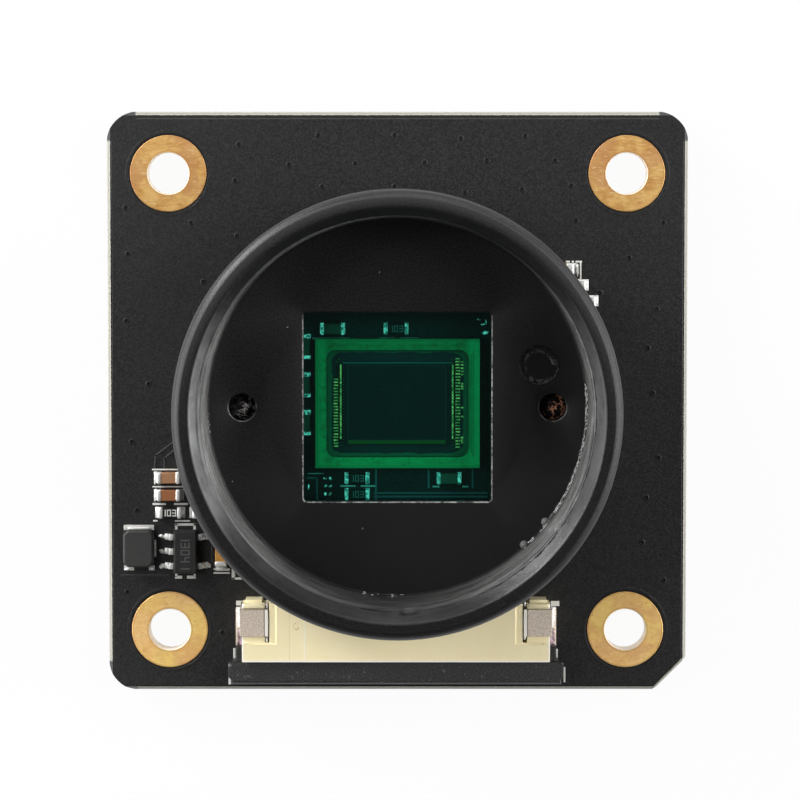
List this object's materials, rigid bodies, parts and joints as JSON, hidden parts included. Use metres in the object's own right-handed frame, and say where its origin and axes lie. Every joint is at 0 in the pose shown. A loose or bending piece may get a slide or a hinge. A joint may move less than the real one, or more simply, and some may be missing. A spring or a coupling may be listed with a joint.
{
  "type": "camera module",
  "caption": "Bare camera board with a threaded lens mount over its image sensor, plated corner mounting holes and a slide-lock flat cable connector.",
  "frame": {"origin": "centre of the four mounting holes, on the back face of the board", "axes": "+Z out of the lens mount along its axis, +Y away from the flat cable connector, +X to the right as seen from the lens side"},
  "size_m": [0.038, 0.038, 0.0163],
  "materials": {
    "solder_mask": "satin black solder mask over glass fibre laminate",
    "gold_plating": "matte gold plating",
    "mount_plastic": "satin black moulding",
    "screw_steel": "zinc plated",
    "filter_glass": "blue green filter glass",
    "sensor_ceramic": "fired ceramic",
    "die_surface": "polished silicon",
    "cover_glass": "clear coated glass",
    "bond_metal": "drawn gold wire",
    "inductor_body": "pressed metal powder",
    "tinned_metal": "bright tin",
    "chip_resin": "moulded epoxy",
    "housing_plastic": "cream moulded nylon",
    "contact_metal": "tinned phosphor bronze",
    "clip_nickel": "dull nickel",
    "lock_plastic": "dark grey moulding",
    "capacitor_ceramic": "fired tan ceramic with tinned ends",
    "resistor_ceramic": "black glaze with tinned ends"
  },
  "bodies": {
    "module": {"circuit_board": "solder_mask", "mounting_rings": "gold_plating", "lens_mount": "mount_plastic", "mount_screws": "screw_steel", "infrared_filter": "filter_glass", "sensor_package": "sensor_ceramic", "sensor_die": "die_surface", "sensor_cover_glass": "cover_glass", "bond_wires": "bond_metal", "inductor_core": "inductor_body", "inductor_terminals": "tinned_metal", "regulator_body": "chip_resin", "regulator_leads": "tinned_metal", "connector_housing": "housing_plastic", "connector_contacts": "contact_metal", "connector_clips": "clip_nickel", "capacitor_01": "capacitor_ceramic", "capacitor_02": "capacitor_ceramic", "capacitor_03": "capacitor_ceramic", "capacitor_04": "capacitor_ceramic", "capacitor_05": "capacitor_ceramic", "capacitor_06": "capacitor_ceramic", "capacitor_07": "capacitor_ceramic", "capacitor_08": "capacitor_ceramic", "capacitor_09": "capacitor_ceramic", "capacitor_10": "capacitor_ceramic", "capacitor_11": "capacitor_ceramic", "resistor_01": "resistor_ceramic", "resistor_02": "resistor_ceramic", "resistor_03": "resistor_ceramic", "resistor_04": "resistor_ceramic", "resistor_05": "resistor_ceramic"},
    "cable_lock": {"connector_lock": "lock_plastic"}
  },
  "joints": [
    {"name": "cable_lock_slide", "type": "slide", "parent": "module", "child": "cable_lock", "axis": [0, -1, 0], "range_m": [0, 0.0012]}
  ]
}
